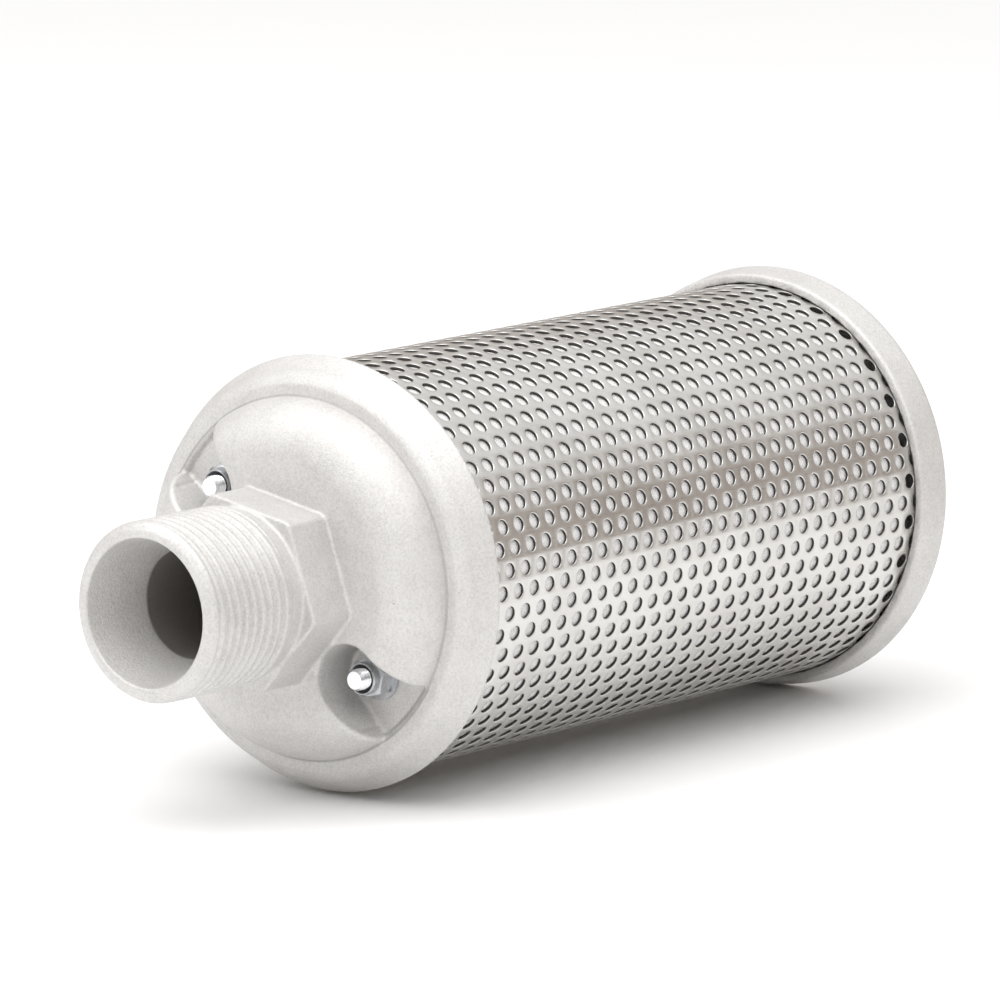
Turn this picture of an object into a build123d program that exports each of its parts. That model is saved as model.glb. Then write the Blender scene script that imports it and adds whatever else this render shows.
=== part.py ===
"""Pneumatic muffler for a 1 inch pipe port.

A cast inlet head and a cast end cap are pulled together by two M4 tie rods, and clamp a perforated
shell between them.  Inside the shell, felt is wrapped in three layers round a perforated core tube.
Millimetres.  The axis of the muffler is X, the inlet mouth opens towards -X, and +Z is up.  While a
piece is built, x is measured from the mouth.  save() then puts the origin at the middle of the thread.
"""
from build123d import *
import math
import os

# Inlet head
rim_radius = 40.8
thread_radius = 16.65
thread_pitch = 2.209
thread_depth = 1.05
thread_grooves = 9
thread_start = 1.9
thread_end = 21.8
thread_middle = 11.75
neck_radius = 15.9
mouth_radius = 13.7
throat_radius = 10.1
throat_x = 12.4
hex_front = 25.7
hex_flats = 32.5
hex_corner = 1.5
hex_length = 10.7
hex_angle = 221.0
flange_x = 44.7
flange_edge = 51.65
dome_radius = 33.6
head_back = 50.6

# End cap
cap_lip = 182.0
cap_rim_radius = 41.1
cap_face = 190.45
cap_inner = 186.2
cap_top = 199.6

# Tie rods, nuts and washers (M4)
rod_angle = 223.0
rod_circle = 23.4
rod_radius = 2.0
rod_pitch = 0.7
rod_thread = 14.0
rod_front = 38.45
pocket_floor = 45.9
pocket_radius = 6.6
pocket_mouth = 7.5
washer_radius = 4.6
washer_thickness = 0.8
nut_flats = 7.0
nut_height = 4.7
nut_hex_height = 3.2

# Perforated shell
shell_radius = 38.25
shell_wall = 0.6
shell_start = 49.4
shell_end = 187.6

# Core tube, screen and felt
core_radius = 11.4
core_wall = 0.9
core_hole = 3.2
core_start = 47.0
core_end = 188.2
screen_radius = 12.0
felt_radii = (12.0, 21.2, 25.6, 37.65)
felt_start = 52.0
felt_end = 179.4

os.makedirs("parts", exist_ok=True)


def rod_plane(x, angle):
    """Plane across the muffler at x, with its own x axis pointing outwards through a tie rod."""
    a = math.radians(angle)
    return Plane(origin=(x, 0, 0), x_dir=(0, math.cos(a), math.sin(a)), z_dir=(1, 0, 0))


def save(builder, name):
    """Write one piece, with the origin on the axis at the middle of the thread."""
    piece = builder.part.moved(Location((-thread_middle, 0, 0)))
    piece.label = name
    export_step(piece, f"parts/{name}.step")


rod_angles = {"a": rod_angle, "b": rod_angle + 180}

# Pocket round a nut: a slot that widens outwards, shut at its outer end by a sloping lip.
slot_end = dome_radius + 6
with BuildPart() as front_pocket:
    with BuildSketch(rod_plane(pocket_floor, rod_angle)):
        with Locations((rod_circle, 0)):
            Circle(pocket_radius)
        with BuildLine():
            Polyline(
                (rod_circle, pocket_radius),
                (slot_end, pocket_mouth + 0.3),
                (slot_end, -pocket_mouth - 0.3),
                (rod_circle, -pocket_radius),
                close=True,
            )
        make_face()
    extrude(amount=-14, taper=-2)
    with BuildSketch(Plane.XZ):
        with BuildLine():
            Polyline(
                (pocket_floor, 0),
                (pocket_floor, dome_radius - 1.2),
                (flange_x, dome_radius),
                (flange_x, dome_radius + 12),
                (28, dome_radius + 12),
                (28, 0),
                close=True,
            )
        make_face()
    revolve(axis=Axis.X, mode=Mode.INTERSECT)

# Inlet head: threaded nipple, hexagon, dome and flange in one casting.
with BuildPart() as inlet_head:
    with BuildSketch(Plane.XZ):
        with BuildLine():
            Polyline(
                (head_back, 0),
                (0.0, 0),
                (0.0, 14.9),
                (0.7, 16.0),
                (1.7, thread_radius),
                (thread_end, thread_radius),
                (thread_end + 0.7, neck_radius),
                (36.0, neck_radius),
                (36.0, 25.0),
            )
            ThreePointArc((36.0, 25.0), (38.35, 30.25), (flange_x, dome_radius))
            Line((flange_x, dome_radius), (flange_x + 0.25, 35.2))
            ThreePointArc((flange_x + 0.25, 35.2), (46.4, 36.95), (48.2, 38.35))
            Polyline(
                (48.2, 38.35),
                (51.0, 40.35),
                (flange_edge, rim_radius),
                (flange_edge, shell_radius + 0.15),
                (shell_start, shell_radius + 0.15),
                (shell_start, shell_radius - shell_wall - 0.15),
                (head_back, shell_radius - shell_wall - 0.15),
                (head_back, 0),
            )
        make_face()
    revolve(axis=Axis.X)
    with BuildSketch(Plane.YZ.offset(hex_front)):
        hexagon = RegularPolygon(hex_flats / 2, 6, major_radius=False, rotation=hex_angle - 30)
        fillet(hexagon.vertices(), hex_corner)
    extrude(amount=hex_length)
    # Hollow under the dome, with a solid boss left round each rod.
    with BuildSketch(Plane.YZ.offset(head_back)):
        Circle(30.5)
        Circle(15.5, mode=Mode.SUBTRACT)
        for angle in rod_angles.values():
            a = math.radians(angle)
            with Locations((rod_circle * math.cos(a), rod_circle * math.sin(a))):
                Circle(9.6, mode=Mode.SUBTRACT)
    extrude(amount=-10.1, mode=Mode.SUBTRACT)
    for turn in (0, 180):
        add(front_pocket.part.rotate(Axis.X, turn), mode=Mode.SUBTRACT)
    # Bore: a funnel to the throat, then straight through, with a seat for the core tube.
    with BuildSketch(Plane.XZ):
        with BuildLine():
            Polyline(
                (-1, 0),
                (-1, mouth_radius + 0.3),
                (0.0, mouth_radius),
                (throat_x, throat_radius),
                (core_start, throat_radius),
                (core_start, core_radius + 0.1),
                (head_back + 1, core_radius + 0.1),
                (head_back + 1, 0),
                close=True,
            )
        make_face()
    revolve(axis=Axis.X, mode=Mode.SUBTRACT)
    # Thread, as rings of the thread's own section with flat crests.
    with BuildSketch(Plane.XZ):
        for i in range(thread_grooves):
            x = thread_start + i * thread_pitch
            with BuildLine():
                Polyline(
                    (x, thread_radius + 0.5),
                    (x, thread_radius),
                    (x + 0.7, thread_radius - thread_depth),
                    (x + 1.0, thread_radius - thread_depth),
                    (x + 1.7, thread_radius),
                    (x + 1.7, thread_radius + 0.5),
                    close=True,
                )
            make_face()
    revolve(axis=Axis.X, mode=Mode.SUBTRACT)
    for angle in rod_angles.values():
        with BuildSketch(rod_plane(pocket_floor - 1, angle)):
            with Locations((rod_circle, 0)):
                Circle(rod_radius + 0.25)
        extrude(amount=8, mode=Mode.SUBTRACT)
save(inlet_head, "inlet_head")

# End cap: the same flange and dome, shut, with the same two pockets.
cap_floor = cap_face - (pocket_floor - flange_x)
with BuildPart() as rear_pocket:
    with BuildSketch(rod_plane(cap_floor, rod_angle)):
        with Locations((rod_circle, 0)):
            Circle(pocket_radius)
        with BuildLine():
            Polyline(
                (rod_circle, pocket_radius),
                (slot_end, pocket_mouth + 0.3),
                (slot_end, -pocket_mouth - 0.3),
                (rod_circle, -pocket_radius),
                close=True,
            )
        make_face()
    extrude(amount=14, taper=-2)
    with BuildSketch(Plane.XZ):
        with BuildLine():
            Polyline(
                (cap_floor, 0),
                (cap_floor, dome_radius - 1.2),
                (cap_face, dome_radius),
                (cap_face, dome_radius + 12),
                (206, dome_radius + 12),
                (206, 0),
                close=True,
            )
        make_face()
    revolve(axis=Axis.X, mode=Mode.INTERSECT)

with BuildPart() as end_cap:
    with BuildSketch(Plane.XZ):
        with BuildLine():
            Polyline(
                (cap_inner, 0),
                (cap_top, 0),
                (cap_top, 16.0),
                (cap_face + 8.7, 25.0),
            )
            ThreePointArc(
                (cap_face + 8.7, 25.0), (cap_face + 6.35, 30.25), (cap_face, dome_radius)
            )
            Line((cap_face, dome_radius), (cap_face - 0.2, 38.2))
            ThreePointArc(
                (cap_face - 0.2, 38.2), (cap_face - 0.85, 40.2), (cap_face - 2.25, cap_rim_radius)
            )
            Polyline(
                (cap_face - 2.25, cap_rim_radius),
                (cap_lip + 0.4, cap_rim_radius - 0.9),
                (cap_lip, cap_rim_radius - 1.2),
                (cap_lip, shell_radius + 0.15),
                (shell_end, shell_radius + 0.15),
                (shell_end, shell_radius - shell_wall - 0.15),
                (cap_inner, shell_radius - shell_wall - 0.15),
                (cap_inner, 0),
            )
        make_face()
    revolve(axis=Axis.X)
    # Hollow inside the dome, with a boss for the core tube and one for each rod.
    with BuildSketch(Plane.YZ.offset(cap_inner)):
        Circle(30.5)
        Circle(15.5, mode=Mode.SUBTRACT)
        for angle in rod_angles.values():
            a = math.radians(angle)
            with Locations((rod_circle * math.cos(a), rod_circle * math.sin(a))):
                Circle(9.6, mode=Mode.SUBTRACT)
    extrude(amount=8, mode=Mode.SUBTRACT)
    with BuildSketch(Plane.YZ.offset(cap_inner)):
        Circle(core_radius + 0.1)
    extrude(amount=core_end - cap_inner, mode=Mode.SUBTRACT)
    with BuildSketch(Plane.YZ.offset(cap_inner)):
        Circle(core_radius - core_wall - 0.5)
    extrude(amount=8, mode=Mode.SUBTRACT)
    for turn in (0, 180):
        add(rear_pocket.part.rotate(Axis.X, turn), mode=Mode.SUBTRACT)
    for angle in rod_angles.values():
        with BuildSketch(rod_plane(cap_inner - 1, angle)):
            with Locations((rod_circle, 0)):
                Circle(rod_radius + 0.25)
        extrude(amount=8, mode=Mode.SUBTRACT)
save(end_cap, "end_cap")

# Shell of rolled sheet.
with BuildPart() as outer_shell:
    with BuildSketch(Plane.YZ.offset(shell_start)):
        Circle(shell_radius)
        Circle(shell_radius - shell_wall, mode=Mode.SUBTRACT)
    extrude(amount=shell_end - shell_start)
save(outer_shell, "outer_shell")

# Core tube with cross holes.
hole_rows = 11
hole_step = (felt_end - felt_start) / hole_rows
with BuildPart() as inner_core:
    with BuildSketch(Plane.YZ.offset(core_start)):
        Circle(core_radius)
        Circle(core_radius - core_wall, mode=Mode.SUBTRACT)
    extrude(amount=core_end - core_start)
    with BuildSketch(Plane.XY):
        for i in range(hole_rows):
            with Locations((felt_start + (i + 0.5) * hole_step, 0)):
                Circle(core_hole)
    extrude(amount=core_radius + 2, both=True, mode=Mode.SUBTRACT)
    with BuildSketch(Plane.XZ):
        for i in range(hole_rows - 1):
            with Locations((felt_start + (i + 1) * hole_step, 0)):
                Circle(core_hole)
    extrude(amount=core_radius + 2, both=True, mode=Mode.SUBTRACT)
save(inner_core, "inner_core")

# Wire screen over the core tube, as a thin sleeve.
with BuildPart() as core_screen:
    with BuildSketch(Plane.YZ.offset(felt_start)):
        Circle(screen_radius)
        Circle(core_radius, mode=Mode.SUBTRACT)
    extrude(amount=felt_end - felt_start)
save(core_screen, "core_screen")

# Felt: the rods run through the middle layer.
for name, r_in, r_out in (
    ("felt_inner", felt_radii[0], felt_radii[1]),
    ("felt_middle", felt_radii[1], felt_radii[2]),
    ("felt_outer", felt_radii[2], felt_radii[3]),
):
    with BuildPart() as felt:
        with BuildSketch(Plane.YZ.offset(felt_start)):
            Circle(r_out)
            Circle(r_in, mode=Mode.SUBTRACT)
            if name == "felt_middle":
                for angle in rod_angles.values():
                    a = math.radians(angle)
                    with Locations((rod_circle * math.cos(a), rod_circle * math.sin(a))):
                        Circle(rod_radius + 0.1, mode=Mode.SUBTRACT)
        extrude(amount=felt_end - felt_start)
    save(felt, name)

# Tie rods, threaded at both ends.
rod_back = cap_floor + (pocket_floor - rod_front)
root = rod_radius - 0.35
front_rings = []
for i in range(int(rod_thread / rod_pitch)):
    x = rod_front + 0.5 + i * rod_pitch
    front_rings += [(x, rod_radius), (x + 0.3, root), (x + 0.4, root), (x + 0.66, rod_radius)]
back_rings = [(rod_front + rod_back - x, r) for x, r in reversed(front_rings)]
for key, angle in rod_angles.items():
    a = math.radians(angle)
    centre = (0, rod_circle * math.cos(a), rod_circle * math.sin(a))
    with BuildPart() as tie_rod:
        with BuildSketch(Plane(origin=centre, x_dir=(1, 0, 0), z_dir=(0, -1, 0))):
            with BuildLine():
                Polyline(
                    (rod_front, 0),
                    (rod_front, root),
                    *front_rings,
                    *back_rings,
                    (rod_back, root),
                    (rod_back, 0),
                    close=True,
                )
            make_face()
        revolve(axis=Axis(centre, (1, 0, 0)))
    save(tie_rod, f"tie_rod_{key}")

# Nuts with nylon rings, and their washers, at both ends of each rod.
for end, floor, out in (("front", pocket_floor, -1), ("rear", cap_floor, 1)):
    seat = floor + out * washer_thickness
    collar = seat + out * nut_hex_height
    top = seat + out * nut_height
    ring = top - out * 1.9
    for key, angle in rod_angles.items():
        a = math.radians(angle)
        spot = (rod_circle * math.cos(a), rod_circle * math.sin(a))
        centre = (0, spot[0], spot[1])
        side = Plane(origin=centre, x_dir=(1, 0, 0), z_dir=(0, -1, 0))
        axis = Axis(centre, (1, 0, 0))

        with BuildPart() as washer:
            with BuildSketch(Plane.YZ.offset(floor)):
                with Locations(spot):
                    Circle(washer_radius)
                    Circle(rod_radius + 0.2, mode=Mode.SUBTRACT)
            extrude(amount=out * washer_thickness)
        save(washer, f"{end}_washer_{key}")

        with BuildPart() as nut:
            with BuildSketch(Plane.YZ.offset(seat)):
                with Locations(spot):
                    RegularPolygon(nut_flats / 2, 6, major_radius=False, rotation=angle)
            extrude(amount=out * nut_hex_height)
            with BuildSketch(side):
                with BuildLine():
                    Polyline(
                        (seat, 0),
                        (seat, 3.55),
                        (seat + out * 0.4, 4.1),
                        (collar - out * 0.5, 4.1),
                        (collar, 3.35),
                        (collar, 0),
                        close=True,
                    )
                make_face()
            revolve(axis=axis, mode=Mode.INTERSECT)
            with BuildSketch(side):
                with BuildLine():
                    Polyline(
                        (collar - out * 0.5, 0),
                        (collar - out * 0.5, 3.1),
                        (top - out * 0.3, 3.05),
                        (top, 2.9),
                        (top, 0),
                        close=True,
                    )
                make_face()
            revolve(axis=axis)
            with BuildSketch(side):
                with BuildLine():
                    Polyline(
                        (seat, 0),
                        (seat, rod_radius),
                        (ring, rod_radius),
                        (ring, 2.65),
                        (top - out * 0.2, 2.65),
                        (top, 2.75),
                        (top, 0),
                        close=True,
                    )
                make_face()
            revolve(axis=axis, mode=Mode.SUBTRACT)
        save(nut, f"{end}_nut_{key}")

        with BuildPart() as insert:
            with BuildSketch(side):
                with BuildLine():
                    Polyline(
                        (ring, rod_radius),
                        (ring, 2.65),
                        (top - out * 0.3, 2.65),
                        (top - out * 0.5, rod_radius),
                        close=True,
                    )
                make_face()
            revolve(axis=axis)
        save(insert, f"{end}_nut_ring_{key}")
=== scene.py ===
import math

import bpy
import numpy as np
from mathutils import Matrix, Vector


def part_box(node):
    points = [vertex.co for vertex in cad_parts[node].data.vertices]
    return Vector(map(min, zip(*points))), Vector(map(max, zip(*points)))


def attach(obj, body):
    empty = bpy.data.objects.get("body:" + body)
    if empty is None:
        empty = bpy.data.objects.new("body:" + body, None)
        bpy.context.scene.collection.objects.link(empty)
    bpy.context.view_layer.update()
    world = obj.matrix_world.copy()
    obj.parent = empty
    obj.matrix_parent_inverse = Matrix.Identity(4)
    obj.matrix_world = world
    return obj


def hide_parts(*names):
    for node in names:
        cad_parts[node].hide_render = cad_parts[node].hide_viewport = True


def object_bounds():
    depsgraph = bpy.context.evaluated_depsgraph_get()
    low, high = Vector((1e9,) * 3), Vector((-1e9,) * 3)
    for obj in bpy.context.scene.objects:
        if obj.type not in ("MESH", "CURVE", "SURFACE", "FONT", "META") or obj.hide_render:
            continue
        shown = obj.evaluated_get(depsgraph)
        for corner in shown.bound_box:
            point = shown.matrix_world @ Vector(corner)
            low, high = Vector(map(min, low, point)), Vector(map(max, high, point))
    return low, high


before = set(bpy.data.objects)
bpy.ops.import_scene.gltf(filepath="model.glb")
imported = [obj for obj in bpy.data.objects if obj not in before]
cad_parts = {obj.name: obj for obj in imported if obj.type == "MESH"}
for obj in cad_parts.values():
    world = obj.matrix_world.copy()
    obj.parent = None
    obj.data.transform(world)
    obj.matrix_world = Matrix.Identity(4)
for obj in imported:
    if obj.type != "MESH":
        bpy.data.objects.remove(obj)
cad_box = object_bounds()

# ---------------------------------------------------------------- sizes

# Shape sizes are in millimetres, with x measured from the inlet mouth.
MM = 0.001
MOUTH_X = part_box("inlet_head")[0].x / MM

# the two tie rods, opposite each other, with their holes and bosses in the castings
ROD_ANGLE = math.radians(223.0)
ROD_CIRCLE = 23.4
ROD_HOLE_R = 2.25
ROD_HOLE_REACH = 4
BOSS_R = 9.6

# the nut pockets in the domes, wider at the flange than at the rod
POCKET_R = 6.6
POCKET_WIDE_R = 7.8
POCKET_WIDE_AT = 39.6
POCKET_SINK = 1.2
POCKET_DRAFT = math.radians(2)

# the nipple: thread, neck, funnel and hexagon
MOUTH_EDGE_R = 14.9
MOUTH_R = 13.7
THROAT_X = 12.4
THROAT_R = 10.1
THREAD_R = 16.65
THREAD_PITCH = 2.209
THREAD_PHASE = 1.9
THREAD_START = 1.2
THREAD_END = 21.8
THREAD_FADE_END = THREAD_END - 0.2
THREAD_RUN_IN = 1.6
THREAD_RUN_OUT = 1.0
THREAD_ZONE_X = 24
THREAD_ZONE_R = 13.9
GROOVE_DEPTH = 0.9
GROOVE_HALF_WIDTH = 0.92
FLANK_SCALE = 0.6
NECK_R = 15.7
NECK_END = 36.0
HEX_FRONT = 25.7
HEX_BACK = 36.7
HEX_FLATS = 32.5
HEX_ANGLE = math.radians(221.0)
HEX_CORNER = 1.7

# the domes and flanges, and the seats for the shell and the core tube
DOME_TOP_R = 25.0
DOME_MID_R = 30.25
DOME_R = 33.6
# the radius of the painted shade where a dome meets its flange
CREASE_SHADE_R = DOME_R + 0.15
SEAT_OUTER_R = 38.4
SEAT_INNER_R = 37.3
CORE_SEAT_R = 11.5
HOLLOW_R = (15.5, 30.5)
FLANGE_X = 44.7
HEAD_BACK = 50.6
HEAD_RIM_X = 51.65
HEAD_RIM_R = 40.8
CAP_LIP = 182.0
CAP_INNER = 186.2
CAP_SEAT = 187.6
CAP_FACE = 190.45
CAP_HOLLOW_END = 194.2
CAP_TOP = 199.6
CAP_RIM_X = 188.2
CAP_RIM_R = 41.1

# how softly the castings' faces meet
CAST_EDGE = 0.22
BORE_EDGE = 0.15
FILLET = 1.0
HOLLOW_FILLET = 0.8
HEX_EDGE = 0.6
HEX_FILLET = 0.7
THREAD_EDGE = 0.12
OPENING_EDGE = 0.35
ROD_HOLE_EDGE = 0.3
ROD_HOLE_FLOOR = 0.1

# the box that a casting is meshed in reaches this far from the axis
CAST_REACH = 42.3
CAST_CELL = 0.33

# the shell: staggered rows of holes along a tube
SHELL_R = 38.25
SHELL_WALL = 0.6
SHELL_START = 49.4
SHELL_FRONT = SHELL_START + 0.02
HOLE_ROWS = 60
HOLES_IN_ROW = 30
HOLE_PITCH = 4.56
HOLE_R = 2.75 / 2
FIRST_HOLE = 50.78
FIRST_ANGLE = math.radians(0.15)
ROW_STEP = 2 * math.pi / HOLE_ROWS
SHELL_END = FIRST_HOLE + HOLES_IN_ROW * HOLE_PITCH

# the three wrapped layers of felt
FELT_START, FELT_END = 51.2, 181.7
FELT_INNER_R, FELT_MIDDLE_R, FELT_OUTER_R, FELT_R = 12.0, 21.2, 25.6, 37.65
FELT_CELL = 0.9
FELT_ROD_R = 2.2


# ---------------------------------------------------------------- mesh helpers

def new_object(name, verts, faces):
    """A smooth mesh object from points in millimetres, x from the mouth."""
    verts = np.asarray(verts, float) * MM
    verts[:, 0] += MOUTH_X * MM
    mesh = bpy.data.meshes.new(name)
    faces = np.asarray(faces, np.int32)
    n, k = faces.shape
    mesh.vertices.add(len(verts))
    mesh.vertices.foreach_set("co", verts.astype(np.float32).ravel())
    mesh.loops.add(n * k)
    mesh.loops.foreach_set("vertex_index", faces.ravel())
    mesh.polygons.add(n)
    mesh.polygons.foreach_set("loop_start", np.arange(0, n * k, k, dtype=np.int32))
    mesh.polygons.foreach_set("use_smooth", np.full(n, True))
    mesh.update(calc_edges=True)
    mesh.validate()
    obj = bpy.data.objects.new(name, mesh)
    bpy.context.scene.collection.objects.link(obj)
    return obj


def attribute(obj, name, values):
    a = obj.data.attributes.new(name, "FLOAT", "POINT")
    a.data.foreach_set("value", np.asarray(values, np.float32))


def turned_points(x, r, theta):
    """Points at x, a radius and an angle about the axis, one row for each."""
    return np.stack([x.ravel(), (r * np.cos(theta)).ravel(), (r * np.sin(theta)).ravel()], 1)


def polygon_distance(px, py, points):
    """Signed distance from many points to a closed polygon, negative inside."""
    best = np.full(px.shape, 1e9)
    inside = np.zeros(px.shape, bool)
    pts = np.asarray(points, float)
    for a, b in zip(pts, np.roll(pts, -1, 0)):
        e = b - a
        wx, wy = px - a[0], py - a[1]
        t = np.clip((wx * e[0] + wy * e[1]) / max(e @ e, 1e-12), 0, 1)
        best = np.minimum(best, (wx - t * e[0]) ** 2 + (wy - t * e[1]) ** 2)
        if a[1] != b[1]:
            crosses = (a[1] > py) != (b[1] > py)
            inside ^= crosses & (px < a[0] + (py - a[1]) * e[0] / (b[1] - a[1]))
    return np.where(inside, -1, 1) * np.sqrt(best)


def arc(a, m, b, steps=12):
    """Points on the circle through a, m and b, without a itself."""
    a, m, b = (complex(*p) for p in (a, m, b))
    w = (b - a) / (m - a)
    c = a - (a - m) * (w - abs(w) ** 2) / (2j * w.imag)
    r = abs(a - c)
    t0, tm, t1 = (math.atan2((p - c).imag, (p - c).real) for p in (a, m, b))
    turn = (t1 - t0) % (2 * math.pi)
    if (tm - t0) % (2 * math.pi) > turn:
        turn -= 2 * math.pi
    angles = [t0 + turn * i / steps for i in range(1, steps + 1)]
    return [(c.real + r * math.cos(t), c.imag + r * math.sin(t)) for t in angles]


class Lathe:
    """Signed distance of a turned shape, from a table over x and radius, with softened corners."""

    MARGIN = 6

    def __init__(self, points, soften=0.0, step=0.1):
        pts = np.asarray(points, float)
        self.step = step
        self.x0 = pts[:, 0].min() - self.MARGIN
        nx = int((pts[:, 0].max() + self.MARGIN - self.x0) / step) + 1
        nr = int((pts[:, 1].max() + self.MARGIN) / step) + 1
        # a shape on the axis is mirrored below it, so that the axis itself is never an edge
        if pts[:, 1].min() == 0:
            above = pts[pts[:, 1] > 0]
            pts = np.vstack([above, (above * (1, -1))[::-1]])
        gx = self.x0 + step * np.arange(nx)
        gr = step * np.arange(nr)
        self.table = polygon_distance(gx[:, None] + 0 * gr, 0 * gx[:, None] + gr, pts)
        if soften:
            reach = int(3 * soften / step)
            kernel = np.exp(-0.5 * (np.arange(-reach, reach + 1) * step / soften) ** 2)
            kernel /= kernel.sum()
            t = np.pad(self.table, reach, mode="edge")
            t[reach:-reach, :reach] = t[reach:-reach, reach + 1:2 * reach + 1][:, ::-1]
            t = sum(k * t[i:i + nx] for i, k in enumerate(kernel))
            self.table = sum(k * t[:, i:i + nr] for i, k in enumerate(kernel))

    def __call__(self, x, r):
        fx = np.clip((x - self.x0) / self.step, 0, self.table.shape[0] - 1.001)
        fr = np.clip(r / self.step, 0, self.table.shape[1] - 1.001)
        ix, ir = fx.astype(np.int32), fr.astype(np.int32)
        tx, tr = fx - ix, fr - ir
        t = self.table
        low = t[ix, ir] * (1 - tx) + t[ix + 1, ir] * tx
        high = t[ix, ir + 1] * (1 - tx) + t[ix + 1, ir + 1] * tx
        return low * (1 - tr) + high * tr


def soft_max(a, b, k):
    """The larger of two distances, blended over k where they are close."""
    h = np.maximum(k - np.abs(a - b), 0) / k
    return np.maximum(a, b) + h * h * k / 4


def soft_min(a, b, k):
    return -soft_max(-a, -b, k)


def towards_surface(field, points, cell):
    """Points moved one step along the field's slope, by less than half a cell."""
    e = 0.02
    x, y, z = points.T
    slope = np.stack([
        field(x + e, y, z) - field(x - e, y, z),
        field(x, y + e, z) - field(x, y - e, z),
        field(x, y, z + e) - field(x, y, z - e),
    ], 1) / (2 * e)
    move = -(field(x, y, z) / np.maximum((slope * slope).sum(1), 0.2))[:, None] * slope
    length = np.linalg.norm(move, axis=1, keepdims=True)
    return points + move * np.minimum(1, 0.45 * cell / np.maximum(length, 1e-9))


def surface(name, field, low, high, cell):
    """A closed quad mesh of where field(x, y, z) is negative, one point for each grid cell it crosses."""
    low, high = np.array(low, float), np.array(high, float)
    n = np.ceil((high - low) / cell).astype(int) + 1
    ax = [low[i] + cell * np.arange(n[i]) for i in range(3)]
    values = np.empty(n, np.float32)
    yy, zz = np.meshgrid(ax[1], ax[2], indexing="ij")
    for i in range(n[0]):
        values[i] = field(np.full_like(yy, ax[0][i]), yy, zz)
    inside = values < 0
    count = np.zeros(n - 1, np.uint8)
    corners = [(i, j, k) for i in (0, 1) for j in (0, 1) for k in (0, 1)]
    for i, j, k in corners:
        count += inside[i:n[0] - 1 + i, j:n[1] - 1 + j, k:n[2] - 1 + k]
    cells = np.argwhere((count > 0) & (count < 8))
    index = np.full(n - 1, -1, np.int32)
    index[tuple(cells.T)] = np.arange(len(cells))
    at = {c: values[tuple((cells + c).T)].astype(float) for c in corners}
    # each cell's point is the mean of the places where its edges cross the surface
    total, hits = np.zeros((len(cells), 3)), np.zeros(len(cells))
    for axis in range(3):
        for c in (c for c in corners if not c[axis]):
            d = tuple(1 if i == axis else c[i] for i in range(3))
            a, b = at[c], at[d]
            cut = (a < 0) != (b < 0)
            p = np.tile(np.array(c, float), (len(cells), 1))
            p[:, axis] = np.where(cut, a / np.where(cut, a - b, 1), 0)
            total += p * cut[:, None]
            hits += cut
    points = low + (cells + total / hits[:, None]) * cell
    for _ in range(2):
        points = towards_surface(field, points, cell)
    # each grid edge that crosses the surface gives the quad of the four cells round it
    quads = []
    for axis in range(3):
        b, c = (axis + 1) % 3, (axis + 2) % 3
        first = [slice(None)] * 3
        second = [slice(None)] * 3
        first[axis], second[axis] = slice(0, -1), slice(1, None)
        edges = np.argwhere(inside[tuple(first)] != inside[tuple(second)])
        for side in (b, c):
            edges = edges[(edges[:, side] > 0) & (edges[:, side] < n[side] - 1)]
        ring = []
        for db, dc in ((-1, -1), (0, -1), (0, 0), (-1, 0)):
            q = edges.copy()
            q[:, b] += db
            q[:, c] += dc
            ring.append(index[tuple(q.T)])
        ring = np.stack(ring, 1)
        flip = ~inside[tuple(edges.T)]
        ring[flip] = ring[flip][:, ::-1]
        quads.append(ring)
    return new_object(name, points, np.vstack(quads))


# ---------------------------------------------------------------- castings

def rod_frame(y, z):
    """Distance outwards through either rod, and sideways from it, with both rods folded into one."""
    c, s = math.cos(ROD_ANGLE), math.sin(ROD_ANGLE)
    return np.abs(y * c + z * s), np.abs(-y * s + z * c)


def slot_distance(depth, u, v):
    """The pocket in plan, widening outwards from the rod, and by a draft with its depth."""
    draft = depth * math.tan(POCKET_DRAFT)
    round_part = np.hypot(u - ROD_CIRCLE, v) - POCKET_R - draft
    slope = (POCKET_WIDE_R - POCKET_R) / (POCKET_WIDE_AT - ROD_CIRCLE)
    straight = (v - POCKET_R - slope * (u - ROD_CIRCLE)) / math.hypot(1, slope) - draft
    return np.where(u > ROD_CIRCLE, straight, round_part)


def with_hexagon(f, x, r, angle):
    """f with the hexagon added, its corners rounded, met by a small fillet."""
    near = (angle - HEX_ANGLE + math.pi / 6) % (math.pi / 3) - math.pi / 6
    hx, hy = r * np.cos(near), r * np.abs(np.sin(near))
    half = (HEX_FLATS / 2 - HEX_CORNER) * math.tan(math.pi / 6)
    dx = hx - (HEX_FLATS / 2 - HEX_CORNER)
    flat = np.where((hy > half) & (dx > 0), np.hypot(dx, hy - half), dx) - HEX_CORNER
    ends = np.abs(x - (HEX_FRONT + HEX_BACK) / 2) - (HEX_BACK - HEX_FRONT) / 2
    return soft_min(f, soft_max(flat, ends, HEX_EDGE), HEX_FILLET)


def with_thread(f, x, r, angle):
    """f with a right-handed helical groove cut into it, shallow at both ends."""
    phase = ((x - THREAD_PHASE) / THREAD_PITCH - angle / (2 * math.pi)) % 1.0
    side = np.abs(phase - 0.5) * THREAD_PITCH
    wave = np.cos(math.pi * np.clip(side / GROOVE_HALF_WIDTH, 0, 1))
    groove = GROOVE_DEPTH * (0.5 + 0.5 * wave)
    run_in = np.clip((x - THREAD_START) / THREAD_RUN_IN, 0, 1)
    run_out = np.clip((THREAD_FADE_END - x) / THREAD_RUN_OUT, 0, 1)
    # steep flanks make this distance grow too fast, so it is scaled down
    cut = (r - (THREAD_R - groove * run_in * run_out)) * FLANK_SCALE
    on_nipple = (x < THREAD_ZONE_X) & (r > THREAD_ZONE_R)
    return np.where(on_nipple, soft_max(f, cut, THREAD_EDGE), f)


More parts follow.
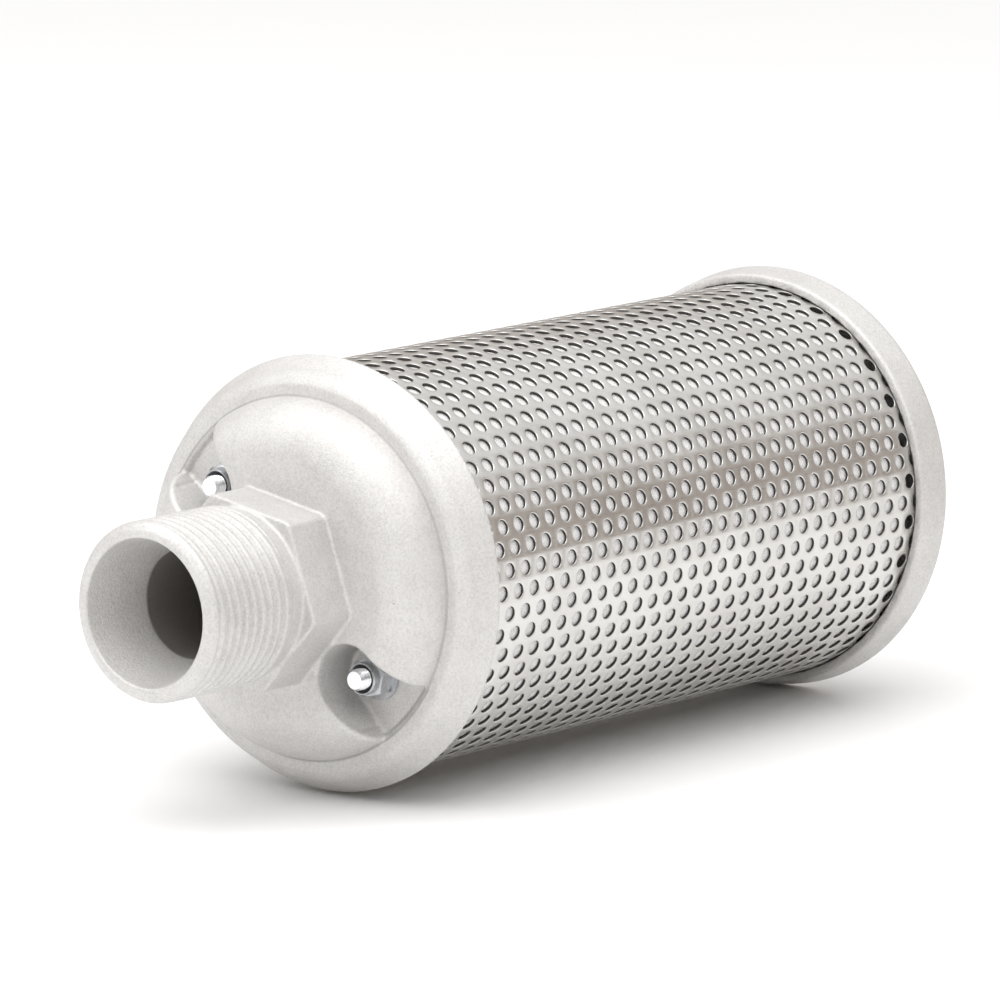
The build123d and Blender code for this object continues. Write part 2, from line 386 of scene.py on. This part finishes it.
def casting(outer, bore, hollow, face, out, nipple=False):
    """Signed distance of a head or cap. out is -1 where its dome points to -X and +1 to +X."""
    floor = face - out * POCKET_SINK
    clear_x, clear_r = face + out * 20, 46.0
    lip = Lathe([
        (floor, 0), (floor, DOME_R - 1.2), (face, DOME_R),
        (face, clear_r), (clear_x, clear_r), (clear_x, 0),
    ])

    def field(x, y, z):
        r = np.hypot(y, z)
        f = outer(x, r)
        if nipple:
            angle = np.arctan2(z, y)
            f = with_thread(with_hexagon(f, x, r, angle), x, r, angle)
        u, v = rod_frame(y, z)
        pocket = soft_max(slot_distance((x - floor) * out, u, v), lip(x, r), FILLET)
        f = soft_max(f, -pocket, FILLET)
        boss = np.hypot(u - ROD_CIRCLE, v) - BOSS_R
        f = soft_max(f, -soft_max(hollow(x, r), -boss, FILLET), HOLLOW_FILLET)
        f = soft_max(f, -bore(x, r), OPENING_EDGE)
        rod_depth = np.abs(x - floor) - ROD_HOLE_REACH
        rod = soft_max(np.hypot(u - ROD_CIRCLE, v) - ROD_HOLE_R, rod_depth, ROD_HOLE_FLOOR)
        return soft_max(f, -rod, ROD_HOLE_EDGE)

    return field


def hollow_ring(start, end):
    """The room under a dome, between the core tube's seat and the wall."""
    inner, outer = HOLLOW_R
    return Lathe([(start, inner), (start, outer), (end, outer), (end, inner)])


def inlet_head():
    """Nipple, hexagon, dome and flange, with a groove at the back for the shell."""
    rim_start = (44.8, 35.8)
    outer = Lathe(
        [(0, 0), (0, MOUTH_EDGE_R), (0.7, 16.0), (1.7, THREAD_R), (THREAD_END, THREAD_R),
         (THREAD_END + 0.7, NECK_R), (NECK_END, NECK_R), (NECK_END, DOME_TOP_R)]
        + arc((NECK_END, DOME_TOP_R), (38.35, DOME_MID_R), (FLANGE_X, DOME_R))
        + [rim_start]
        + arc(rim_start, (45.65, 37.1), (47.6, 38.35), 6)
        + [(51.0, 40.35), (HEAD_RIM_X, HEAD_RIM_R), (HEAD_RIM_X, SEAT_OUTER_R),
           (SHELL_START, SEAT_OUTER_R), (SHELL_START, SEAT_INNER_R),
           (HEAD_BACK, SEAT_INNER_R), (HEAD_BACK, 0)],
        soften=CAST_EDGE,
    )
    core_seat = 47.0
    bore = Lathe(
        [(-5, 0), (-5, MOUTH_EDGE_R), (0, MOUTH_R), (THROAT_X, THROAT_R), (core_seat, THROAT_R),
         (core_seat, CORE_SEAT_R), (54, CORE_SEAT_R), (54, 0)],
        soften=BORE_EDGE,
    )
    return surface(
        "cast_inlet_head",
        casting(outer, bore, hollow_ring(40.5, 55), FLANGE_X, -1, nipple=True),
        (-1, -CAST_REACH, -CAST_REACH), (53, CAST_REACH, CAST_REACH), CAST_CELL,
    )


def end_cap():
    """A shut dome and a flange that flares over the shell's rear end."""
    dome_start, rim_start = (199.15, DOME_TOP_R), (190.25, 38.2)
    outer = Lathe(
        [(CAP_TOP, 0), (CAP_TOP, 16.0), dome_start]
        + arc(dome_start, (196.8, DOME_MID_R), (CAP_FACE, DOME_R))
        + [rim_start]
        + arc(rim_start, (189.6, 40.2), (CAP_RIM_X, CAP_RIM_R), 6)
        + [(CAP_LIP + 0.4, 40.2), (CAP_LIP, 39.9), (CAP_LIP, SEAT_OUTER_R),
           (CAP_SEAT, SEAT_OUTER_R), (CAP_SEAT, SEAT_INNER_R),
           (CAP_INNER, SEAT_INNER_R), (CAP_INNER, 0)],
        soften=CAST_EDGE,
    )
    core_seat, inside = 188.2, 180
    bore = Lathe(
        [(inside, 0), (inside, CORE_SEAT_R), (core_seat, CORE_SEAT_R), (core_seat, 10.0),
         (CAP_HOLLOW_END, 10.0), (CAP_HOLLOW_END, 0)],
        soften=BORE_EDGE,
    )
    return surface(
        "cast_end_cap",
        casting(outer, bore, hollow_ring(inside, CAP_HOLLOW_END), CAP_FACE, 1),
        (180.6, -CAST_REACH, -CAST_REACH), (200.8, CAST_REACH, CAST_REACH), CAST_CELL,
    )


# ---------------------------------------------------------------- perforated shell

class ShellMesh:
    """The shell's points and quads, gathered patch by patch, with each point's depth in the wall."""

    # steps across one row's width, and along half a hole pitch
    SIDE = 4
    STEP = HOLE_PITCH / (2 * SIDE)

    def __init__(self):
        self.verts, self.depths, self.faces = [], [], []
        self.count = 0

    def points(self, x, theta, depth):
        """Add points at one depth, and return the number of the first."""
        first = self.count
        self.verts.append(turned_points(x, SHELL_R - depth, theta))
        self.depths.append(np.full(x.size, float(depth)))
        self.count += x.size
        return first

    def quads(self, corners, turned=False):
        quad = np.stack(corners, 1)
        self.faces.append(quad[:, ::-1] if turned else quad)

    def loops(self):
        """One hole's loops of points, from the cell's outline outside, through the hole, to it inside."""
        side, step = self.SIDE, self.STEP
        half, width = HOLE_PITCH / 2, SHELL_R * ROW_STEP
        outline = np.array(
            [(-half, width * (i / side - 0.5)) for i in range(side)]
            + [(step * i - half, width / 2) for i in range(2 * side)]
            + [(half, width * (0.5 - i / side)) for i in range(side)]
            + [(half - step * i, -width / 2) for i in range(2 * side)]
        )
        # the hole's points are evenly spaced, from the direction of the outline's first point
        n = len(outline)
        start = np.arctan2(outline[0, 1], outline[0, 0])
        turn = start - np.arange(n) * 2 * math.pi / n
        circle = np.stack([np.cos(turn), np.sin(turn)], 1)
        edge = ((0.20, 0.0), (0.09, 0.035), (0.015, 0.12), (0.0, 0.24),
                (0.0, SHELL_WALL - 0.1), (0.07, SHELL_WALL))
        rings = [((HOLE_R + wider) * circle, depth) for wider, depth in edge]
        return [(outline, 0.0)] + rings + [(outline, SHELL_WALL)]

    def hole(self, loops, x, angle):
        first = [
            self.points(np.maximum(x + points[:, 0], SHELL_FRONT), angle + points[:, 1] / SHELL_R, depth)
            for points, depth in loops
        ]
        i = np.arange(len(loops[0][0]))
        j = (i + 1) % len(i)
        for a, b in zip(first, first[1:]):
            self.quads((a + i, a + j, b + j, b + i))

    def strip(self, xs, angle):
        """A plain strip of one row's width, outside and inside."""
        side = self.SIDE
        theta = angle + ROW_STEP * (np.arange(side + 1) / side - 0.5)
        gx, gt = np.meshgrid(xs, theta, indexing="ij")
        i, j = np.meshgrid(np.arange(len(xs) - 1), np.arange(side), indexing="ij")
        for depth, turned in ((0, False), (SHELL_WALL, True)):
            a = self.points(gx, gt, depth) + (i * (side + 1) + j).ravel()
            self.quads((a, a + 1, a + side + 2, a + side + 1), turned)

    def end_face(self, x, turned):
        n = HOLE_ROWS * self.SIDE
        theta = FIRST_ANGLE - ROW_STEP / 2 + np.arange(n) * ROW_STEP / self.SIDE
        a, b = (self.points(np.full(n, x), theta, depth) for depth in (0, SHELL_WALL))
        i = np.arange(n)
        j = (i + 1) % n
        self.quads((a + i, a + j, b + j, b + i), turned)

    def build(self, name):
        """The mesh object, with one vertex where patches meet."""
        verts, weld = np.vstack(self.verts), 0.002
        places = np.round(verts / weld).astype(np.int64)
        _, keep, back = np.unique(places, axis=0, return_index=True, return_inverse=True)
        obj = new_object(name, verts[keep], back.ravel()[np.vstack(self.faces)])
        attribute(obj, "hole_depth", np.concatenate(self.depths)[keep] / SHELL_WALL)
        return obj


def perforated_shell():
    """Staggered rows of holes round a tube, with plain strips where a row stops short of an end."""
    mesh = ShellMesh()
    loops = mesh.loops()
    step, half = mesh.STEP, HOLE_PITCH / 2
    front_strip = np.append(SHELL_FRONT, FIRST_HOLE + step * np.arange(-2, 1))
    rear_strip = SHELL_END - half + step * np.arange(mesh.SIDE + 1)
    for row in range(HOLE_ROWS):
        angle = FIRST_ANGLE + row * ROW_STEP
        shifted = row % 2
        for i in range(HOLES_IN_ROW):
            mesh.hole(loops, FIRST_HOLE + shifted * half + i * HOLE_PITCH, angle)
        mesh.strip(front_strip if shifted else rear_strip, angle)
    mesh.end_face(SHELL_FRONT, True)
    mesh.end_face(SHELL_END, False)
    return mesh.build("perforated_shell")


# ---------------------------------------------------------------- felt

def wool(a, b, c, scale, seed):
    """Smooth repeatable noise from about -1 to 1 over three coordinates."""
    rng = np.random.default_rng(seed)
    total, weight = 0, 0
    for _ in range(14):
        d = rng.normal(size=3)
        d *= scale * rng.uniform(0.5, 1.6) / np.linalg.norm(d)
        w = rng.uniform(0.4, 1.0)
        total = total + w * np.sin(d[0] * a + d[1] * b + d[2] * c + rng.uniform(0, 6.283))
        weight += w
    return total / weight * 1.8


def felt_sleeve(name, r_in, r_out, seed, rods=False):
    """A wrapped felt layer with an uneven surface, a little slack inside the room it has."""
    side_slack, end_slack, roundness, spare = 0.25, 0.3, 1.2, 1.5

    def field(x, y, z):
        r = np.hypot(y, z)
        bumps = 0.12 * wool(x, y, z, 0.9, seed) + 0.06 * wool(x, y, z, 2.4, seed + 1)
        wall = np.abs(r - (r_in + r_out) / 2) - (r_out - r_in) / 2 + side_slack
        ends = np.abs(x - (FELT_START + FELT_END) / 2) - (FELT_END - FELT_START) / 2 + end_slack
        f = soft_max(wall, ends, roundness)
        if rods:
            u, v = rod_frame(y, z)
            f = soft_max(f, FELT_ROD_R - np.hypot(u - ROD_CIRCLE, v), 0.5)
        return f + bumps

    reach = r_out + 1
    low, high = (FELT_START - spare, -reach, -reach), (FELT_END + spare, reach, reach)
    return surface(name, field, low, high, FELT_CELL)


def felt_skin(name, r_in, r_out, seed):
    """The outer layer, fine enough to be looked at through the holes of the shell."""
    around, along = ((620, 380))
    lump_r = 37
    theta = np.arange(around) * 2 * math.pi / around
    xs = FELT_START + (FELT_END - FELT_START) * np.linspace(0, 1, along)
    gx, gt = np.meshgrid(xs, theta, indexing="ij")
    ly, lz = lump_r * np.cos(gt), lump_r * np.sin(gt)
    lumps = 0.5 + 0.28 * wool(gx, ly, lz, 1.1, seed)
    lumps = lumps + 0.16 * wool(gx, ly, lz, 3.1, seed + 1)
    # the surface rolls off towards both ends
    edge = np.minimum(gx - FELT_START, FELT_END - gx)
    top = r_out - 0.03 - 0.16 * np.clip(lumps, 0, 1) - 1.1 * np.exp(-edge / 0.8)
    bottom = np.full_like(top, r_in + 0.05)
    verts = np.vstack([turned_points(gx, r, gt) for r in (top, bottom)])
    i, j = np.meshgrid(np.arange(along - 1), np.arange(around), indexing="ij")
    a, b = (i * around + j).ravel(), (i * around + (j + 1) % around).ravel()
    skin = np.stack([a, b, b + around, a + around], 1)
    lining = skin[:, ::-1] + along * around
    j = np.arange(around)
    k = (j + 1) % around
    deep = along * around
    last = (along - 1) * around
    front = np.stack([j, j + deep, k + deep, k], 1)
    back = np.stack([last + j, last + k, last + k + deep, last + j + deep], 1)
    return new_object(name, verts, np.vstack([skin, lining, front, back]))


# ---------------------------------------------------------------- materials

class Nodes:
    """A short way to write a node material. A value is a number, or a node and its output."""

    def __init__(self, name):
        self.material = bpy.data.materials.new(name)
        self.material.use_nodes = True
        self.tree = self.material.node_tree
        self.tree.nodes.clear()
        self.out = self.add("ShaderNodeOutputMaterial")
        self.shader = self.add("ShaderNodeBsdfPrincipled")
        self.link(self.shader, "BSDF", self.out, "Surface")
        coords = self.add("ShaderNodeTexCoord")
        scale = self.add("ShaderNodeVectorMath", operation="SCALE")
        scale.inputs["Scale"].default_value = 1 / MM
        self.link(coords, "Object", scale, 0)
        self.mm = (scale, 0)

    def add(self, kind, **props):
        node = self.tree.nodes.new(kind)
        for key, value in props.items():
            setattr(node, key, value)
        return node

    def link(self, a, out, b, into):
        self.tree.links.new(a.outputs[out], b.inputs[into])

    def put(self, source, node, into):
        if isinstance(source, tuple) and not isinstance(source[0], (int, float)):
            self.link(source[0], source[1], node, into)
        else:
            node.inputs[into].default_value = source

    def math(self, operation, a, b=0.0, clamp=False):
        node = self.add("ShaderNodeMath", operation=operation, use_clamp=clamp)
        self.put(a, node, 0)
        self.put(b, node, 1)
        return (node, 0)

    def times(self, a, b):
        return self.math("MULTIPLY", a, b)

    def stretch(self, x, y, z):
        node = self.add("ShaderNodeVectorMath", operation="MULTIPLY")
        self.put(self.mm, node, 0)
        node.inputs[1].default_value = (x, y, z)
        return (node, 0)

    def noise(self, scale, detail=2.0, rough=0.5, at=None):
        node = self.add("ShaderNodeTexNoise")
        self.put(at or self.mm, node, "Vector")
        node.inputs["Scale"].default_value = scale
        node.inputs["Detail"].default_value = detail
        node.inputs["Roughness"].default_value = rough
        return (node, "Fac")

    def ramp(self, value, low, high, a=0.0, b=1.0):
        node = self.add("ShaderNodeMapRange", clamp=True)
        for i, v in enumerate((value, low, high, a, b)):
            self.put(v, node, i)
        return (node, 0)

    def mix(self, share, a, b):
        """Colour a, with colour b over it by share."""
        node = self.add("ShaderNodeMix", data_type="RGBA")
        self.put(share, node, 0)
        for v, i in ((a, 6), (b, 7)):
            if isinstance(v[0], (int, float)):
                v = (*v, 1.0)
            self.put(v, node, i)
        return (node, 2)

    def near(self, value, centre, inner, outer):
        """1 within inner of centre, falling to 0 at outer."""
        return self.ramp(self.math("ABSOLUTE", self.math("SUBTRACT", value, centre)), inner, outer, 1.0, 0.0)

    def bump(self, height, distance, strength=1.0):
        node = self.add("ShaderNodeBump")
        self.put(height, node, "Height")
        node.inputs["Distance"].default_value = distance * MM
        node.inputs["Strength"].default_value = strength
        return (node, 0)

    def set(self, **values):
        for key, v in values.items():
            self.put(v, self.shader, key.replace("_", " "))
        return self.material


def cast_aluminium():
    n = Nodes("cast_aluminium")
    blotch = n.noise(0.09, 3.0, 0.6)
    mottle = n.noise(0.55, 3.0, 0.6)
    grain = n.noise(2.2, 3.0, 0.65)
    fine = n.noise(5.5, 2.0, 0.6)
    pits = n.ramp(n.noise(0.9, 2.0, 0.5), 0.20, 0.24, 1.0, 0.0)
    tone = n.mix(n.ramp(blotch, 0.35, 0.65), (0.62, 0.605, 0.59), (0.68, 0.665, 0.65))
    tone = n.mix(n.times(n.ramp(mottle, 0.4, 0.7), 0.22), tone, (0.76, 0.75, 0.735))
    tone = n.mix(n.times(n.ramp(grain, 0.5, 0.68), 0.30), tone, (0.82, 0.81, 0.80))
    tone = n.mix(n.times(n.ramp(grain, 0.5, 0.34), 0.28), tone, (0.42, 0.405, 0.39))
    tone = n.mix(n.times(pits, 0.55), tone, (0.30, 0.285, 0.27))
    split = n.add("ShaderNodeSeparateXYZ")
    n.put(n.mm, split, 0)
    x, y, z = ((split, i) for i in range(3))
    r = n.math("SQRT", n.math("ADD", n.math("POWER", y, 2.0), n.math("POWER", z, 2.0)))
    # painted shade: a dark band where a dome meets its flange, standing in for the shade in that corner
    crease_shade_band = n.near(r, CREASE_SHADE_R, 0.10, 0.34)
    for face in (FLANGE_X, CAP_FACE):
        crease_shade = n.times(crease_shade_band, n.near(x, face + MOUTH_X, 0.25, 0.5))
        tone = n.mix(n.times(crease_shade, 0.42), tone, (0.20, 0.19, 0.18))
    # painted shade: darker deep in the bore behind the throat, where little light reaches
    behind_throat = n.ramp(x, THROAT_X + MOUTH_X, THROAT_X + 0.5 + MOUTH_X)
    in_bore = n.ramp(r, 10.5, 11.0, 1.0, 0.0)
    tone = n.mix(n.times(behind_throat, in_bore), tone, (0.33, 0.305, 0.29))
    rough = n.ramp(fine, 0.3, 0.7, 0.42, 0.60)
    height = n.math("ADD", n.times(grain, 0.6), n.times(fine, 0.4))
    height = n.math("SUBTRACT", height, n.times(pits, 0.35))
    return n.set(Base_Color=tone, Roughness=rough, Normal=n.bump(height, 0.16), Metallic=0.5)


def perforated_steel():
    n = Nodes("perforated_steel")
    depth = n.add("ShaderNodeAttribute", attribute_name="hole_depth")
    inside = n.ramp((depth, "Fac"), 0.10, 0.30)
    lines = n.noise(1.0, 2.0, 0.6, at=n.stretch(0.25, 5.0, 5.0))
    cloud = n.noise(0.05, 2.0, 0.5)
    fine = n.noise(3.0, 2.0, 0.5)
    tone = n.mix(n.ramp(cloud, 0.35, 0.65), (0.60, 0.585, 0.56), (0.70, 0.69, 0.67))
    tone = n.mix(n.times(lines, 0.25), tone, (0.80, 0.79, 0.77))
    # painted shade: the walls of the holes are darkened, standing in for the shade inside them
    tone = n.mix(inside, tone, (0.10, 0.095, 0.09))
    rough = n.ramp(lines, 0.3, 0.7, 0.27, 0.36)
    rough = n.math("ADD", rough, n.times(inside, 0.3), clamp=True)
    normal = n.bump(n.math("ADD", lines, fine), 0.02, 0.5)
    return n.set(Base_Color=tone, Roughness=rough, Normal=normal, Metallic=1.0)


def felt_cloth():
    n = Nodes("felt")
    fibre = n.noise(2.2, 5.0, 0.7)
    patch = n.noise(0.25, 2.0, 0.5)
    tone = n.mix(n.ramp(fibre, 0.3, 0.7), (0.86, 0.85, 0.84), (0.97, 0.96, 0.95))
    tone = n.mix(n.times(n.ramp(patch, 0.4, 0.7), 0.3), tone, (0.88, 0.865, 0.84))
    return n.set(
        Base_Color=tone, Roughness=0.95, Normal=n.bump(fibre, 0.25),
        Sheen_Weight=0.25, Sheen_Roughness=0.5,
    )


def clouded_metal(n, cloud, fine, dark, light, rough, bump, metallic=1.0):
    """A metal that varies softly between two tones, with a fine bump."""
    return n.set(
        Base_Color=n.mix(n.ramp(cloud, 0.3, 0.7), dark, light),
        Roughness=n.ramp(cloud, 0.3, 0.7, *rough),
        Normal=n.bump(fine, *bump),
        Metallic=metallic,
    )


def zinc_plate():
    n = Nodes("zinc_plate")
    cloud, fine = n.noise(0.8, 3.0, 0.6), n.noise(7.0, 2.0, 0.5)
    return clouded_metal(n, cloud, fine, (0.76, 0.775, 0.80), (0.86, 0.87, 0.885), (0.16, 0.3), (0.02, 0.5))


def dull_zinc():
    n = Nodes("dull_zinc")
    cloud, fine = n.noise(0.9, 3.0, 0.6), n.noise(6.0, 2.0, 0.5)
    return clouded_metal(n, cloud, fine, (0.42, 0.43, 0.45), (0.60, 0.61, 0.625), (0.26, 0.42), (0.03, 0.6))


def core_tube():
    n = Nodes("core_tube")
    cloud, fine = n.noise(0.4, 3.0, 0.6), n.noise(3.0)
    dark, light = (0.20, 0.19, 0.18), (0.32, 0.31, 0.30)
    return clouded_metal(n, cloud, fine, dark, light, (0.45, 0.65), (0.03, 0.5), metallic=0.9)


def black_nylon():
    n = Nodes("black_nylon")
    fine = n.noise(5.0, 2.0, 0.5)
    tone = n.mix(fine, (0.012, 0.012, 0.014), (0.03, 0.03, 0.034))
    rough = n.ramp(fine, 0.3, 0.7, 0.35, 0.5)
    return n.set(Base_Color=tone, Roughness=rough, Normal=n.bump(fine, 0.03, 0.5))


def wire_screen():
    n = Nodes("wire_screen")
    weave = n.noise(4.0, 2.0, 0.5)
    tone = n.mix(weave, (0.12, 0.12, 0.12), (0.35, 0.34, 0.33))
    rough = n.ramp(weave, 0.3, 0.7, 0.4, 0.6)
    return n.set(Base_Color=tone, Roughness=rough, Normal=n.bump(weave, 0.1), Metallic=0.8)


def studio_floor():
    n = Nodes("studio_floor")
    cloud = n.noise(0.01, 2.0, 0.5)
    return n.set(Base_Color=n.mix(cloud, (0.92, 0.92, 0.92), (0.94, 0.94, 0.94)), Roughness=0.6)


def paint(obj, material):
    obj.data.materials.clear()
    obj.data.materials.append(material)


# ---------------------------------------------------------------- pieces

head, cap, shell = inlet_head(), end_cap(), perforated_shell()
outer_felt = felt_skin("felt_wrap_outer", FELT_OUTER_R, FELT_R, 5)
middle_felt = felt_sleeve("felt_wrap_middle", FELT_MIDDLE_R, FELT_OUTER_R, 21, rods=True)
inner_felt = felt_sleeve("felt_wrap_inner", FELT_INNER_R, FELT_MIDDLE_R, 31)
aluminium, steel, felt = cast_aluminium(), perforated_steel(), felt_cloth()

for piece, material, node, slot in (
    (head, aluminium, "inlet_head", "cast_aluminium"),
    (cap, aluminium, "end_cap", "cast_aluminium"),
    (shell, steel, "outer_shell", "perforated_steel"),
    (outer_felt, felt, "felt_outer", "felt"),
    (middle_felt, felt, "felt_middle", "felt"),
    (inner_felt, felt, "felt_inner", "felt"),
):
    paint(piece, material)
    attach(piece, "root")
    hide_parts(node)

# The CAD nodes that stay are painted by the first of these words that is in their name.
dull = dull_zinc()
node_paints = {
    "ring": black_nylon(),
    "nut": dull,
    "washer": dull,
    "rod": zinc_plate(),
    "inner_core": core_tube(),
    "core_screen": wire_screen(),
}
for node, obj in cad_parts.items():
    word = next((word for word in node_paints if word in node), None)
    if word:
        paint(obj, node_paints[word])


# ---------------------------------------------------------------- studio

# The studio is in metres.
FLOOR_SIZE = 12.0
FLOOR_GAP = 0.00002
LIGHT_AREAS = (
    # name, place, what it points at, width and height, watts
    ("top", (-0.35, -0.15, 1.25), (0.06, 0, 0), (1.5, 1.5), 15),
    ("key_left", (-0.8, 0.9, 0.7), (0.05, 0, 0), (0.8, 0.8), 3),
)
ROOM_LEFT, ROOM_RIGHT, ROOM_ABOVE = (0.32, 0.31, 0.305), (0.36, 0.30, 0.255), (0.99, 0.99, 0.99)
CAMERA_FROM_MOUTH = -1.20899
CAMERA_Y, CAMERA_Z = -1.04210, 0.29726
CAMERA_AIM = Vector((0.77140, 0.61297, -0.17089))
CAMERA_LENS = 326.506


def aimed(direction):
    """The rotation that points a light or camera along a direction."""
    return direction.to_track_quat("-Z", "Y").to_euler()


def sheet(name, size, location, squares=11):
    mesh = bpy.data.meshes.new(name)
    n = squares + 1
    xs = np.linspace(-size / 2, size / 2, n)
    verts = [(x, y, 0) for x in xs for y in xs]
    corners = [i * n + j for i in range(squares) for j in range(squares)]
    mesh.from_pydata(verts, [], [(a, a + n, a + n + 1, a + 1) for a in corners])
    obj = bpy.data.objects.new(name, mesh)
    obj.location = location
    bpy.context.scene.collection.objects.link(obj)
    return obj


def area_light(name, location, target, size, power):
    data = bpy.data.lights.new(name, "AREA")
    data.shape = "RECTANGLE"
    data.size, data.size_y = size
    data.energy = power
    obj = bpy.data.objects.new(name, data)
    obj.location = location
    obj.rotation_euler = aimed(Vector(target) - Vector(location))
    bpy.context.scene.collection.objects.link(obj)


def room():
    """A world that is dim at eye level, warm on the right, and white above."""
    world = bpy.data.worlds.new("studio")
    bpy.context.scene.world = world
    world.use_nodes = True
    tree = world.node_tree
    coords = tree.nodes.new("ShaderNodeTexCoord")
    split = tree.nodes.new("ShaderNodeSeparateXYZ")
    tree.links.new(coords.outputs["Generated"], split.inputs[0])

    def rise(axis, low, high):
        """From 0 at low to 1 at high along an axis of the room."""
        node = tree.nodes.new("ShaderNodeMapRange")
        node.interpolation_type = "SMOOTHSTEP"
        tree.links.new(split.outputs[axis], node.inputs[0])
        for i, v in enumerate((low, high, 0, 1)):
            node.inputs[i + 1].default_value = v
        return node.outputs[0]

    def mix(share, a, b):
        node = tree.nodes.new("ShaderNodeMix")
        node.data_type = "RGBA"
        tree.links.new(share, node.inputs[0])
        for i, v in ((6, a), (7, b)):
            if isinstance(v, tuple):
                node.inputs[i].default_value = (*v, 1.0)
            else:
                tree.links.new(v, node.inputs[i])
        return node.outputs[2]

    level = mix(rise("X", -0.5, 0.4), ROOM_LEFT, ROOM_RIGHT)
    background = tree.nodes["Background"]
    background.inputs["Strength"].default_value = 1.0
    tree.links.new(mix(rise("Z", 0.12, 0.62), level, ROOM_ABOVE), background.inputs["Color"])


def photo_camera():
    """A long lens far away, so that lines stay nearly parallel."""
    data = bpy.data.cameras.new("camera")
    data.sensor_width = 36.0
    data.lens = CAMERA_LENS
    data.clip_start, data.clip_end = 0.1, 30.0
    camera = bpy.data.objects.new("camera", data)
    camera.location = (MOUTH_X * MM + CAMERA_FROM_MOUTH, CAMERA_Y, CAMERA_Z)
    camera.rotation_euler = aimed(CAMERA_AIM)
    bpy.context.scene.collection.objects.link(camera)
    return camera


floor = sheet("floor", FLOOR_SIZE, (0, 0, cad_box[0].z - FLOOR_GAP))
paint(floor, studio_floor())
for light in LIGHT_AREAS:
    area_light(*light)
room()
bpy.context.scene.camera = photo_camera()
bpy.context.scene.view_settings.view_transform = "Standard"
